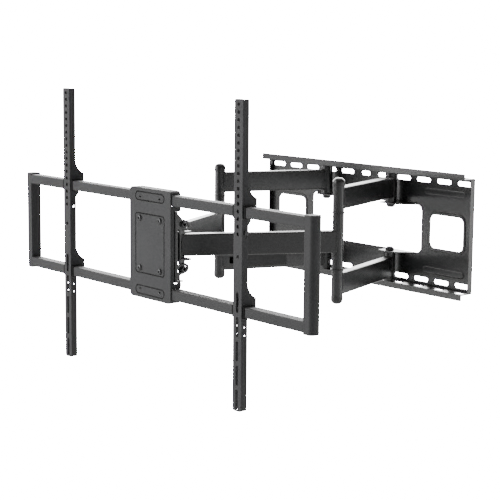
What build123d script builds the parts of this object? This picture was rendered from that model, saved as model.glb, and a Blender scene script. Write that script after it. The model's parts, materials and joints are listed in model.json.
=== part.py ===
from build123d import *
import math
import os

# Full motion wall mount for a large flat screen, in millimetres.
# +X is to the right as seen from the room, +Y goes into the wall, +Z is up.
# The origin is the centre of the wall plate's back face, where it meets the wall.

os.makedirs("parts", exist_ok=True)

# ---- driving dimensions -------------------------------------------------------------------

# wall plate: a folded steel tray with outward lips
plate_width = 686
plate_height = 287
plate_wall = 2.5
plate_depth = 38
plate_lip = 12
plate_end_flange = 14
plate_notch_width = 372
plate_notch_height = 112
plate_window_width = 102
plate_window_height = 78
plate_window_centre = 264
plate_window_corner = 14
emboss_height = 1.5
emboss_width = 5
rib_height = 14
rib_level = 92
rib_end_gap = 24
slot_pitch = 63
slot_side_count = 5
slot_length = 44
slot_short_length = 30
slot_width = 11
slot_level = 117
flange_slot_length = 30
flange_slot_width = 16
flange_slot_shift = 8

# pivot tabs: folded forward from the notch, one above and one below it on each side
tab_wall = 3
tab_inner = 86
tab_root = 172
tab_tip = 130
tab_depth = 42

# arms
arm_height = 48
arm_width = 22
arm_wall = 2
arm_corner = 3
wall_pivot_reach = 110
wall_pivot_depth = 28
rear_arm_length = 280
rear_arm_level = 95
head_pivot_reach = 38
rest_angle = 20

# wall pivots
wall_bolt_radius = 6
wall_bush_wall = 2.5
wall_sleeve_radius = 14
wall_bolt_head = 7.2
wall_bolt_head_height = 2.5
wall_nut_radius = 10.5
wall_nut_height = 9
washer_gap = 0.3
bush_flange = 1.6

# elbows
elbow_pin_radius = 8
elbow_bush_wall = 2
elbow_sleeve_wall = 2.45
elbow_ring_overhang = 1.5
elbow_ring_height = 2.4
elbow_joint_level = 62
elbow_cap_level = 122
elbow_top = 140
elbow_cap_overhang = 0.9
elbow_cap_wall = 2.4
elbow_cap_round = 10.5
elbow_nut_wall = 1.6
elbow_nut_height = 6

# cable covers on the inner sides of the lower rear arms
cover_height = 32
cover_depth = 8.5
cover_wall = 2
cover_elbow_gap = 44
cover_wall_gap = 112
cover_peg_radius = 2.5
cover_peg_inset = 16
cable_hole_length = 10
cable_hole_height = 17
cable_hole_gap = 27

# head bracket, carried by the two front arms
head_bolt_radius = 6
head_bolt_head = 8.5
head_bolt_head_height = 5
head_nut_height = 5.4
head_bush_wall = 2.5
head_knuckle_radius = 12
head_knuckle_height = 52
loose_pivot_gap = 4
loose_bush_wall = 0.8
lug_wall = 4
lug_gap = 1.5
lug_back = 13
head_web_front = 19
head_wall = 3
cheek_face = 62
cheek_top = 56.5
cheek_half = 7.5

# tilt bracket
tilt_axis_gap = 6
tilt_bolt_depth = 12.5
tilt_bolt_level = 48
tilt_bolt_radius = 4
tilt_head_radius = 6.8
tilt_nut_radius = 6.4
tilt_nut_height = 4
tilt_washer_radius = 7.6
tilt_washer_wall = 1.5
tilt_up_angle = 5
tilt_down_angle = 10
tilt_spare_angle = 1.5
tilt_wall = 3
tilt_plate_height = 152
tilt_flange = 4
ear_gap = 0.5
ear_edge = 6
level_screw_inset = 8
level_screw_gap = 5.8
level_screw_radius = 2.5
level_knob_radius = 4.5
level_knob_height = 11
level_screw_length = 12
slide_gap = 0.4

# screen frame
frame_width = 1016
frame_height = 222
rail_height = 22
rail_depth = 26
rail_wall = 2
rail_corner = 2.5
rail_back = 20.7
post_width = 24
post_lobe = 9
post_overhang = 3
centre_width = 146
centre_height = 240
centre_wall = 3
centre_return = 24
centre_side_return = 7
centre_return_drop = 12
centre_corner = 9
centre_bolt_radius = 4
centre_head_radius = 6.8
centre_head_height = 2
centre_socket_radius = 2.6
centre_socket_depth = 1.2
spacer_length = 10
rail_window_gap = 0.5
core_wall = 2.8
core_height = 168
core_width = 118
centre_bolt_reach = 36
centre_bolt_level = 54
rail_screw_reach = 35
rail_screw_level = 100
rail_screw_radius = 2.5
rail_screw_head = 3.8
rail_screw_head_height = 0.8
groove_depth = 0.9
groove_width = 3
groove_length = 105
groove_corner = 7
end_groove_level = 102
end_groove_height = 21
middle_groove_height = 132
level_bolt_radius = 6
level_head_radius = 10.8
level_head_height = 4
level_nut_radius = 9
level_nut_height = 2.5

# screen strips
strip_length = 626
strip_top = 322
strip_width = 26
strip_wall = 2.5
strip_front_wall = 3
strip_depth = 16
strip_right_place = 294
strip_left_place = -322
strip_corner = 5
hook_reach = 38
hook_rise = 42
hook_wall = 7.6
hook_tip = 7
hook_sweep = 0.26
hole_radius = 4.15
hole_first = 11
hole_pitch = 15
hole_count = 18
hole_single_step = 20
long_slot_count = 5
long_slot_length = 42
long_slot_pitch = 49.6
long_slot_first = 403.5
tie_hole_radius = 1.8
tie_hole_levels = (131, 148)
tie_hole_depth = 7
lock_width = 15
lock_height = 38
lock_travel = 8
lock_screw_drop = 30
lock_screw_depth = 6
lock_screw_radius = 2.6
lock_screw_head = 4.7
lock_screw_head_height = 2.5

# ---- derived places -----------------------------------------------------------------------

fit_gap = 0.05
front_arm_length = wall_pivot_reach + rear_arm_length - head_pivot_reach
rest_radians = math.radians(rest_angle)
elbow_x = wall_pivot_reach + rear_arm_length * math.sin(rest_radians)
elbow_y = -wall_pivot_depth - rear_arm_length * math.cos(rest_radians)
front_radians = math.asin((elbow_x - head_pivot_reach) / front_arm_length)
front_angle = math.degrees(front_radians)
head_y = elbow_y - front_arm_length * math.cos(front_radians)

arm_half = arm_height / 2
flange_top = plate_height / 2 - plate_lip
tab_face = plate_notch_height / 2 + tab_wall
sleeve_inner = tab_face + bush_flange + washer_gap
sleeve_outer = flange_top - plate_wall - bush_flange - washer_gap
lug_level = head_knuckle_height / 2 + lug_gap
rail_rear = head_y - rail_back
rail_front = rail_rear - rail_depth
core_front = rail_front + spacer_length
tilt_plate_front = core_front + core_wall + slide_gap
tilt_y = tilt_plate_front + tilt_axis_gap
rail_top = frame_height / 2
rail_bottom = rail_top - rail_height
centre_front = rail_front - centre_wall
strip_front = rail_front - slide_gap - strip_front_wall
strip_bottom = strip_top - strip_length


# ---- shape helpers ------------------------------------------------------------------------

def block(x0, x1, y0, y1, z0, z1):
    """A box between two corners."""
    centre = Pos((x0 + x1) / 2, (y0 + y1) / 2, (z0 + z1) / 2)
    return centre * Box(abs(x1 - x0), abs(y1 - y0), abs(z1 - z0))


def rod_x(y, z, x0, x1, radius):
    """A round bar along X."""
    return Pos((x0 + x1) / 2, y, z) * Rot(0, 90, 0) * Cylinder(radius, abs(x1 - x0))


def rod_y(x, z, y0, y1, radius):
    """A round bar along Y."""
    return Pos(x, (y0 + y1) / 2, z) * Rot(90, 0, 0) * Cylinder(radius, abs(y1 - y0))


def rod_z(x, y, z0, z1, radius):
    """A round bar along Z."""
    return Pos(x, y, (z0 + z1) / 2) * Cylinder(radius, abs(z1 - z0))


def ring_z(x, y, z0, z1, outer, inner):
    """A round tube along Z."""
    return rod_z(x, y, z0, z1, outer) - rod_z(x, y, z0 - 1, z1 + 1, inner)


def hexagon_z(x, y, z0, z1, radius):
    """A six-sided head or nut along Z."""
    return Pos(x, y, min(z0, z1)) * extrude(RegularPolygon(radius, 6), abs(z1 - z0))


def stadium_y(x, z, length, width, y0, y1, upright=False):
    """A long rounded bar through Y, lying along X or standing along Z."""
    turn = 90 if upright else 0
    section = Plane.XZ * Rot(0, 0, turn) * SlotOverall(length, width)
    return Pos(x, max(y0, y1), z) * extrude(section, abs(y1 - y0))


def panel_y(x0, x1, z0, z1, y0, y1, corner):
    """A flat panel that faces Y, with rounded corners."""
    section = Plane.XZ * RectangleRounded(x1 - x0, z1 - z0, corner)
    return Pos((x0 + x1) / 2, max(y0, y1), (z0 + z1) / 2) * extrude(section, abs(y1 - y0))


def prism_x(outline, x0, x1):
    """An outline in Y and Z, made solid from x0 to x1."""
    face = Plane.YZ * make_face(outline)
    return Pos(min(x0, x1), 0, 0) * extrude(face, abs(x1 - x0))


def mirror_x(shape):
    """The same piece on the other side of the object."""
    return mirror(shape, about=Plane.YZ)


def turn_z(shape, x, y, angle):
    """A shape turned about an upright line."""
    return shape.rotate(Axis((x, y, 0), (0, 0, 1)), angle)


def group(shapes):
    """Several like pieces kept as separate solids of one node."""
    return Compound(children=list(shapes))


def save(name, shape):
    """One STEP file for each sub-part."""
    export_step(shape, f"parts/{name}.step")


def place_rear(shape):
    """A rear arm piece, drawn from its wall pivot along -Y, put in its rest place."""
    turned = turn_z(shape, 0, 0, rest_angle)
    return Pos(wall_pivot_reach, -wall_pivot_depth, 0) * turned


def place_front(shape):
    """A front arm piece, drawn from its elbow along -Y, put in its rest place."""
    turned = turn_z(shape, 0, 0, -front_angle)
    return Pos(elbow_x, elbow_y, 0) * turned


def save_pair(name, right, left=None):
    """The right piece, and the left one as its mirror image."""
    save(f"{name}_right", right)
    save(f"{name}_left", mirror_x(right if left is None else left))


# ---- wall plate ---------------------------------------------------------------------------

plate_end = plate_width / 2
plate_top = plate_height / 2
window_low = plate_window_centre - plate_window_width / 2
window_high = plate_window_centre + plate_window_width / 2
window_half = plate_window_height / 2


def window_border(side):
    """The raised border round one window of the wall plate."""
    grow = emboss_width
    outer = panel_y(window_low - grow, window_high + grow, -window_half - grow, window_half + grow,
                    -plate_wall - emboss_height, -plate_wall / 2, plate_window_corner + grow)
    return outer if side > 0 else mirror_x(outer)


def window_cut(side):
    """The opening inside that border."""
    cut = panel_y(window_low, window_high, -window_half, window_half,
                  -plate_depth, 1, plate_window_corner)
    return cut if side > 0 else mirror_x(cut)


def pivot_tab(level):
    """The right tab that holds one end of a wall pivot bolt, folded forward at the notch."""
    low = level * plate_notch_height / 2
    outline = Polyline((tab_inner, -plate_wall / 2), (tab_inner, -tab_depth), (tab_tip, -tab_depth),
                       (tab_root, -plate_wall / 2), close=True)
    return Pos(0, 0, min(low, level * tab_face)) * extrude(make_face(outline), tab_wall)


def make_wall_plate():
    """The folded tray, with its fixing slots, windows, notch, pivot tabs and pressed ribs."""
    body = block(-plate_end, plate_end, -plate_wall, 0, -flange_top, flange_top)
    for side in (-1, 1):
        top = side * flange_top
        body += block(-plate_end, plate_end, -plate_depth, 0, top - side * plate_wall, top)
        body += block(-plate_end, plate_end, -plate_depth, -plate_depth + plate_wall,
                      top - side * plate_wall, side * plate_top)
        end = side * plate_end
        body += block(end - side * plate_wall, end, -plate_end_flange, 0, -flange_top, flange_top)
        body += window_border(side)
    rib_start = tab_root + rib_end_gap
    rib_stop = plate_end - rib_end_gap
    rib_length = rib_stop - rib_start
    for side in (-1, 1):
        for level in (-rib_level, rib_level):
            body += stadium_y(side * (rib_start + rib_stop) / 2, level, rib_length, rib_height,
                              -plate_wall - emboss_height, -plate_wall / 2)
        body -= window_cut(side)
        for level in (-slot_level, slot_level):
            for step in range(1, slot_side_count + 1):
                body -= stadium_y(side * step * slot_pitch, level, slot_length, slot_width,
                                  -plate_depth / 2, 1)
        for step in range(1, slot_side_count + 1):
            flange_slot = SlotOverall(flange_slot_length, flange_slot_width)
            slot_x = side * (step * slot_pitch + flange_slot_shift)
            place = Pos(slot_x, -plate_depth / 2, -plate_height)
            body -= place * extrude(flange_slot, 2 * plate_height)
    for level in (-slot_level, slot_level):
        body -= stadium_y(0, level, slot_short_length, slot_width, -plate_depth / 2, 1)
    body -= panel_y(-plate_notch_width / 2, plate_notch_width / 2, -plate_notch_height / 2,
                    plate_notch_height / 2, -plate_depth / 2, 1, plate_window_corner)
    for level in (-1, 1):
        tab = pivot_tab(level)
        body += tab
        body += mirror_x(tab)
    for side in (-1, 1):
        body -= rod_z(side * wall_pivot_reach, -wall_pivot_depth, -plate_top, plate_top, wall_bolt_radius)
    return body


save("wall_plate", make_wall_plate())

# ---- wall pivots --------------------------------------------------------------------------

wall_bolts = []
wall_nuts = []
for side in (-1, 1):
    pivot_x = side * wall_pivot_reach
    for level in (-1, 1):
        outside = level * flange_top
        inside = level * plate_notch_height / 2
        nut_end = inside - level * wall_nut_height
        head_end = outside + level * wall_bolt_head_height
        bolt = rod_z(pivot_x, -wall_pivot_depth, outside, nut_end, wall_bolt_radius)
        bolt += rod_z(pivot_x, -wall_pivot_depth, outside, head_end, wall_bolt_head)
        nut = hexagon_z(pivot_x, -wall_pivot_depth, inside, nut_end, wall_nut_radius)
        nut -= rod_z(pivot_x, -wall_pivot_depth, inside + level, nut_end - level, wall_bolt_radius)
        wall_bolts.append(bolt)
        wall_nuts.append(nut)
save("wall_pivot_bolts", group(wall_bolts))
save("wall_pivot_nuts", group(wall_nuts))

# ---- rear arms ----------------------------------------------------------------------------

wall_bush_outer = wall_bolt_radius + fit_gap + wall_bush_wall
elbow_bush_outer = elbow_pin_radius + fit_gap + elbow_bush_wall
elbow_sleeve_radius = elbow_bush_outer + elbow_sleeve_wall
elbow_ring_radius = elbow_sleeve_radius + elbow_ring_overhang
elbow_cap_radius = elbow_sleeve_radius + elbow_cap_overhang
elbow_nut_radius = elbow_pin_radius + elbow_nut_wall


def arm_tube(length):
    """A rectangular tube from the origin along -Y, centred on Z = 0."""
    outer = RectangleRounded(arm_width, arm_height, arm_corner)
    inner = RectangleRounded(arm_width - 2 * arm_wall, arm_height - 2 * arm_wall, arm_corner - arm_wall)
    return extrude(Plane.XZ * (outer - inner), length)


def make_rear_arm():
    """The upper rear arm: a tube coped and welded between its wall and elbow sleeves."""
    body = Pos(0, 0, rear_arm_level) * arm_tube(rear_arm_length)
    body -= rod_z(0, 0, 0, plate_height, wall_sleeve_radius - arm_wall)
    body -= rod_z(0, -rear_arm_length, 0, plate_height, elbow_sleeve_radius - arm_wall)
    body += ring_z(0, 0, sleeve_inner, sleeve_outer, wall_sleeve_radius, wall_bush_outer)
    body += ring_z(0, -rear_arm_length, elbow_joint_level + elbow_ring_height, elbow_cap_level,
                   elbow_sleeve_radius, elbow_bush_outer)
    body -= rod_z(0, 0, 0, plate_height, wall_bush_outer)
    body -= rod_z(0, -rear_arm_length, 0, plate_height, elbow_bush_outer)
    return body


def make_wall_bushes():
    """Flanged plastic bushes in the wall sleeves, one from each end."""
    flange_radius = wall_sleeve_radius - 2
    middle = (sleeve_inner + sleeve_outer) / 2
    bushes = []
    for low, high, flange in ((sleeve_inner, middle, sleeve_inner - bush_flange),
                              (middle, sleeve_outer, sleeve_outer + bush_flange)):
        bore = wall_bolt_radius + fit_gap
        bush = rod_z(0, 0, low, high, wall_bush_outer)
        bush += rod_z(0, 0, flange, low if flange < low else high, flange_radius)
        bush -= rod_z(0, 0, 0, plate_height, bore)
        bushes.append(bush)
    return bushes


def make_elbow_bush():
    """The plastic bush of one elbow sleeve, with the wide ring that parts it from the middle sleeve."""
    low = elbow_joint_level + elbow_ring_height
    bush = rod_z(0, -rear_arm_length, low, elbow_cap_level, elbow_bush_outer)
    bush += rod_z(0, -rear_arm_length, elbow_joint_level, low, elbow_ring_radius)
    bush -= rod_z(0, -rear_arm_length, elbow_joint_level - 1, elbow_cap_level + 1,
                  elbow_pin_radius + fit_gap)
    return bush


def make_elbow_cap():
    """The rounded plastic cap over the end of the elbow pin."""
    cap = rod_z(0, -rear_arm_length, elbow_cap_level, elbow_top, elbow_cap_radius)
    rim = cap.edges().filter_by(GeomType.CIRCLE).sort_by(Axis.Z)[-1]
    cap = fillet(rim, elbow_cap_round)
    hollow = rod_z(0, -rear_arm_length, elbow_cap_level - 1, elbow_top - elbow_cap_wall,
                   elbow_cap_radius - elbow_cap_wall)
    hollow_rim = hollow.edges().filter_by(GeomType.CIRCLE).sort_by(Axis.Z)[-1]
    return cap - fillet(hollow_rim, elbow_cap_round - elbow_cap_wall)


def both_levels(shapes):
    """The shapes of the upper arm, and their mirror images on the lower arm."""
    return list(shapes) + [mirror(shape, about=Plane.XY) for shape in shapes]


def cover_peg(place, radius, depth):
    """A round peg through the inner wall of the lower rear arm."""
    face = -arm_width / 2
    return Pos(0, place, 0) * rod_x(0, -rear_arm_level, face - 1, face + depth, radius)


cover_low = -cover_wall_gap
cover_high = -rear_arm_length + cover_elbow_gap
cover_peg_places = (cover_low - cover_peg_inset, cover_high + cover_peg_inset)


def make_cable_cover():
    """A plastic channel pegged to the inner side of the lower rear arm, open at both ends."""
    face = -arm_width / 2
    front = face - cover_depth
    half = cover_height / 2
    body = block(front, face, cover_high, cover_low, -rear_arm_level - half, -rear_arm_level + half)
    body -= block(front + cover_wall, face + 1, cover_high - 1, cover_low + 1,
                  -rear_arm_level - half + cover_wall, -rear_arm_level + half - cover_wall)
    for place in cover_peg_places:
        body += Pos(0, place, 0) * rod_x(0, -rear_arm_level, front + 1, face + arm_wall, cover_peg_radius)
    return body


rear_arm = make_rear_arm()
lower_arm = mirror(rear_arm, about=Plane.XY)
for place in cover_peg_places:
    lower_arm -= cover_peg(place, cover_peg_radius, arm_wall + 1)
hole_middle = -rear_arm_length + cable_hole_gap
lower_arm -= block(-arm_width / 2 - 1, 0, hole_middle - cable_hole_length / 2,
                   hole_middle + cable_hole_length / 2, -rear_arm_level - cable_hole_height / 2,
                   -rear_arm_level + cable_hole_height / 2)
save_pair("rear_upper_arm", place_rear(rear_arm))
save_pair("rear_lower_arm", place_rear(lower_arm))
save_pair("rear_cable_cover", place_rear(make_cable_cover()))
wall_bushes = both_levels(make_wall_bushes())
save_pair("wall_pivot_bushes", group([place_rear(bush) for bush in wall_bushes]))
elbow_bushes = both_levels([make_elbow_bush()])
save_pair("elbow_bushes", group([place_rear(bush) for bush in elbow_bushes]))
elbow_cap = place_rear(make_elbow_cap())
save_pair("elbow_cap_upper", elbow_cap)
save_pair("elbow_cap_lower", mirror(elbow_cap, about=Plane.XY))


# ---- elbow pins and middle sleeves --------------------------------------------------------

middle_half = elbow_joint_level - washer_gap
pin_end = elbow_cap_level + washer_gap + elbow_nut_height
elbow_pin = place_front(rod_z(0, 0, -pin_end, pin_end, elbow_pin_radius))
save_pair("elbow_pin", elbow_pin)
elbow_nuts = []
for level in (-1, 1):
    near = level * (elbow_cap_level + washer_gap)
    nut = ring_z(0, 0, min(near, near + level * elbow_nut_height),
                 max(near, near + level * elbow_nut_height), elbow_nut_radius, elbow_pin_radius)
    elbow_nuts.append(place_front(nut))
save_pair("elbow_pin_rings", group(elbow_nuts))
middle_sleeve = ring_z(0, 0, -middle_half, middle_half, elbow_sleeve_radius, elbow_pin_radius)
save_pair("elbow_sleeve", place_front(middle_sleeve))


# ---- front arms ---------------------------------------------------------------------------

def make_front_arm(bore):
    """A tube coped to the elbow sleeve, with a knuckle welded to its other end."""
    half = head_knuckle_height / 2
    body = arm_tube(front_arm_length)
    body -= rod_z(0, 0, -half, half, elbow_sleeve_radius)
    body += ring_z(0, -front_arm_length, -half, half, head_knuckle_radius, bore)
    body -= rod_z(0, -front_arm_length, -half - 1, half + 1, bore)
    return body


def make_head_bush(inner, wall):
    """A plastic liner in the knuckle, with a thin flange at both ends."""
    half = head_knuckle_height / 2
    flange = lug_gap - washer_gap
    bush = rod_z(0, -front_arm_length, -half, half, inner + wall)
    for level in (-1, 1):
        bush += rod_z(0, -front_arm_length, level * half, level * (half + flange),
                      head_knuckle_radius - fit_gap)
    bush -= rod_z(0, -front_arm_length, -half - lug_gap, half + lug_gap, inner)
    return bush


tight_bore = head_bolt_radius + fit_gap
loose_bore = head_bolt_radius + loose_pivot_gap
save_pair("front_arm", place_front(make_front_arm(tight_bore + head_bush_wall)),
          place_front(make_front_arm(loose_bore + loose_bush_wall)))
save_pair("head_pivot_bush", place_front(make_head_bush(tight_bore, head_bush_wall)),
          place_front(make_head_bush(loose_bore, loose_bush_wall)))

# ---- head bracket -------------------------------------------------------------------------

lug_reach = cheek_face + head_wall
tilt_bolt_y = head_y - tilt_bolt_depth
cheek_front = tilt_bolt_y - cheek_half
cheek_rear = tilt_bolt_y + cheek_half


def make_head_bracket():
    """Two lugs joined by a web, with an upright cheek at each end for the tilt bolts."""
    web_front = head_y - head_web_front
    web_rear = web_front + head_wall
    body = block(-lug_reach, lug_reach, web_front, web_rear, -lug_level - lug_wall, lug_level + lug_wall)
    for level in (-1, 1):
        inner = level * lug_level
        outer = level * (lug_level + lug_wall)
        body += block(-lug_reach, lug_reach, web_front, head_y + lug_back, inner, outer)
        for side in (-1, 1):
            face = side * cheek_face
            body += block(face, face + side * head_wall, cheek_front, cheek_rear, inner, level * cheek_top)
            body -= rod_x(tilt_bolt_y, level * tilt_bolt_level, face - side,
                          face + side * (head_wall + 1), tilt_bolt_radius)
            body -= rod_z(side * head_pivot_reach, head_y, inner - level, outer + level, head_bolt_radius)
    return body


save("head_bracket", make_head_bracket())
head_bolts = []
head_nuts = []
lug_outside = lug_level + lug_wall
for side in (-1, 1):
    pivot_x = side * head_pivot_reach
    nut_end = -lug_outside - head_nut_height
    bolt = rod_z(pivot_x, head_y, nut_end, lug_outside, head_bolt_radius)
    bolt += rod_z(pivot_x, head_y, lug_outside, lug_outside + head_bolt_head_height, head_bolt_head)
    nut = hexagon_z(pivot_x, head_y, -lug_outside, nut_end, head_bolt_head)
    nut -= rod_z(pivot_x, head_y, -lug_outside + 1, nut_end - 1, head_bolt_radius)
    head_bolts.append(bolt)
    head_nuts.append(nut)
save("head_pivot_bolts", group(head_bolts))
save("head_pivot_nuts", group(head_nuts))

# ---- tilt bracket -------------------------------------------------------------------------

tilt_face = cheek_face + head_wall + ear_gap
tilt_reach = tilt_face + tilt_wall
tilt_rear = tilt_plate_front + tilt_wall
tilt_half = tilt_plate_height / 2
bolt_run = math.hypot(tilt_bolt_y - tilt_y, tilt_bolt_level)
bolt_bearing = math.degrees(math.atan2(tilt_bolt_level, tilt_bolt_y - tilt_y))
slot_half = tilt_bolt_radius + slide_gap


def slot_end(level, spare):
    """The two angles between which a tilt bolt travels, seen from the tilt axis."""
    start = level * bolt_bearing - tilt_down_angle - spare
    stop = level * bolt_bearing + tilt_up_angle + spare
    return start, stop


def arc_band(x0, x1, level, half):
    """A curved band along a tilt bolt's travel, with round ends."""
    start, stop = slot_end(level, tilt_spare_angle)
    band = Pos(0, tilt_y, 0) * Rot(0, 90, 0) * Cylinder(bolt_run + half, abs(x1 - x0))
    band -= Pos(0, tilt_y, 0) * Rot(0, 90, 0) * Cylinder(bolt_run - half, abs(x1 - x0) + 2)
    far = bolt_run * 2
    first = math.radians(start)
    last = math.radians(stop)
    fan = Polyline((tilt_y, 0), (tilt_y + far * math.cos(first), far * math.sin(first)),
                   (tilt_y + far * math.cos(last), far * math.sin(last)), close=True)
    band = Pos((x0 + x1) / 2, 0, 0) * band & prism_x(fan, x0, x1)
    for angle in (first, last):
        band += rod_x(tilt_y + bolt_run * math.cos(angle), bolt_run * math.sin(angle), x0, x1, half)
    return band


def make_ear(x0, x1, level):
    """A lobe round the slot, joined to the flange by a tapered root."""
    lobe = arc_band(x0, x1, level, slot_half + ear_edge)
    start, stop = slot_end(level, tilt_spare_angle)
    near = math.radians(start if level < 0 else stop)
    root_y = tilt_y + (bolt_run + slot_half + ear_edge) * math.cos(near)
    root_top = level * tilt_half
    root_low = level * (tilt_bolt_level - slot_half - ear_edge)
    root = Polyline((tilt_plate_front, root_low), (tilt_bolt_y, root_low),
                    (tilt_bolt_y, level * tilt_bolt_level),
                    (root_y + ear_edge, level * (bolt_run + slot_half)), (tilt_rear, root_top),
                    (tilt_plate_front, root_top), close=True)
    return lobe + prism_x(root, x0, x1)


def make_tilt_bracket():
    """A plate behind the screen frame, with a slotted ear above and below on each side."""
    body = block(-tilt_reach, tilt_reach, tilt_plate_front, tilt_rear, -tilt_half, tilt_half)
    for side in (-1, 1):
        low = min(side * tilt_face, side * tilt_reach)
        high = max(side * tilt_face, side * tilt_reach)
        body += block(low, high, tilt_plate_front, tilt_rear + tilt_flange, -tilt_half, tilt_half)
        for level in (-1, 1):
            body += make_ear(low, high, level)
            body -= arc_band(low - 1, high + 1, level, slot_half)
    body -= rod_y(0, 0, tilt_plate_front - 1, tilt_rear + 1, level_bolt_radius + fit_gap)
    return body


save("tilt_bracket", make_tilt_bracket())
tilt_bolts = []
tilt_washers = []
tilt_nuts = []
for side in (-1, 1):
    for level in (-1, 1):
        bolt_z = level * tilt_bolt_level
        inner = side * cheek_face
        washer_face = side * (tilt_reach + slide_gap)
        nut_face = washer_face + side * tilt_washer_wall
        nut_end = nut_face + side * tilt_nut_height
        bolt = rod_x(tilt_bolt_y, bolt_z, inner, nut_end, tilt_bolt_radius)
        bolt += rod_x(tilt_bolt_y, bolt_z, inner - side * tilt_nut_height, inner, tilt_head_radius)
        washer = rod_x(tilt_bolt_y, bolt_z, washer_face, nut_face, tilt_washer_radius)
        washer -= rod_x(tilt_bolt_y, bolt_z, washer_face - side, nut_face + side, tilt_bolt_radius)
        nut = rod_x(tilt_bolt_y, bolt_z, nut_face, nut_end, tilt_nut_radius)
        nut -= rod_x(tilt_bolt_y, bolt_z, nut_face - side, nut_end + side, tilt_bolt_radius)
        tilt_bolts.append(bolt)
        tilt_washers.append(washer)
        tilt_nuts.append(nut)
save("tilt_bolts", group(tilt_bolts))
save("tilt_washers", group(tilt_washers))
save("tilt_nuts", group(tilt_nuts))

level_screw_x = tilt_face - level_screw_inset
level_screw_y = rail_rear + level_screw_gap
level_screw = rod_z(0, 0, -level_knob_height, 0, level_knob_radius)
level_screw += rod_z(0, 0, 0, level_screw_length, level_screw_radius)
level_tab = block(tilt_face - 2 * level_screw_inset, tilt_face, tilt_rear, level_screw_y + level_screw_gap,
                  -tilt_half, -tilt_half + tilt_wall)
level_tab -= rod_z(level_screw_x, level_screw_y, -tilt_half - 1, -tilt_half + tilt_wall + 1,
                   level_screw_radius)
save("level_screw_tab", level_tab)
save("level_screw", Pos(level_screw_x, level_screw_y, -tilt_half) * level_screw)

# ---- screen frame -------------------------------------------------------------------------

frame_end = frame_width / 2
post_inner = frame_end - post_width


def rail_tube(x0, x1, middle):
    """A rectangular rail along X."""
    outer = RectangleRounded(rail_depth, rail_height, rail_corner)
    inner = RectangleRounded(rail_depth - 2 * rail_wall, rail_height - 2 * rail_wall, rail_corner / 4)
    tube = extrude(Plane.YZ * (outer - inner), x1 - x0)
    return Pos(x0, (rail_front + rail_rear) / 2, middle) * tube


def make_post():
    """The right end post: a flat front and a rounded outer side, as a closed tube."""
    depth = rail_depth
    centre_x = frame_end - post_lobe
    outline = Rectangle(post_width - post_lobe, depth)
    lobe = Ellipse(post_lobe, depth / 2)
    section = Pos(post_inner + (post_width - post_lobe) / 2, 0) * outline + Pos(centre_x, 0) * lobe
    foot = -rail_top - post_overhang
    height = frame_height + 2 * post_overhang
    body = Pos(0, (rail_front + rail_rear) / 2, foot) * extrude(section, height)
    hollow = Pos(post_inner + post_width / 2, 0) * Rectangle(post_width * 0.5, depth - 2 * rail_wall)
    inside = extrude(hollow, height - 2 * rail_wall)
    return body - Pos(0, (rail_front + rail_rear) / 2, foot + rail_wall) * inside


rail_middle = (rail_top + rail_bottom) / 2
upper_rail = rail_tube(-post_inner, post_inner, rail_middle)
lower_rail = rail_tube(-post_inner, post_inner, -rail_middle)
end_post = make_post()
save("upper_rail", upper_rail)
save("lower_rail", lower_rail)
save_pair("end_post", end_post)

centre_half = centre_width / 2
centre_top = centre_height / 2
centre_rear = centre_front + centre_return + centre_wall


def groove(x, z, width, height, corner):
    """A shallow pressed line in the front of the centre plate, round a panel."""
    outer = panel_y(x - width / 2, x + width / 2, z - height / 2, z + height / 2,
                    centre_front - 1, centre_front + groove_depth, corner)
    inner = panel_y(x - width / 2 + groove_width, x + width / 2 - groove_width,
                    z - height / 2 + groove_width, z + height / 2 - groove_width,
                    centre_front - 2, centre_front + groove_depth + 1, corner - groove_width)
    return outer - inner


def make_centre_plate():
    """The pressed cover over both rails: a tray with its returns cut out round the rails."""
    body = panel_y(-centre_half, centre_half, -centre_top, centre_top, centre_front, centre_rear,
                   centre_corner)
    body -= panel_y(-centre_half + centre_wall, centre_half - centre_wall, -centre_top + centre_wall,
                    centre_top - centre_wall, centre_front + centre_wall, centre_rear + 1,
                    centre_corner - centre_wall)
    for level in (-1, 1):
        body -= block(-centre_width, centre_width, rail_front, centre_rear + 1,
                      level * (rail_bottom - rail_window_gap), level * (rail_top + rail_window_gap))
        body -= groove(0, level * end_groove_level, groove_length, end_groove_height,
                       end_groove_height / 2 - fit_gap)
        for side in (-1, 1):
            body -= rod_y(side * rail_screw_reach, level * rail_screw_level, centre_front - 1,
                          rail_front + 1, rail_screw_radius)
            body -= rod_y(side * centre_bolt_reach, level * centre_bolt_level, centre_front - 1,
                          rail_front + 1, centre_bolt_radius)
    body -= groove(0, 0, groove_length, middle_groove_height, groove_corner)
    shallow = rail_bottom - centre_return_drop
    body -= block(-centre_width, centre_width, rail_front + centre_side_return, centre_rear + 1,
                  -shallow, shallow)
    return body


save("centre_plate", make_centre_plate())

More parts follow.
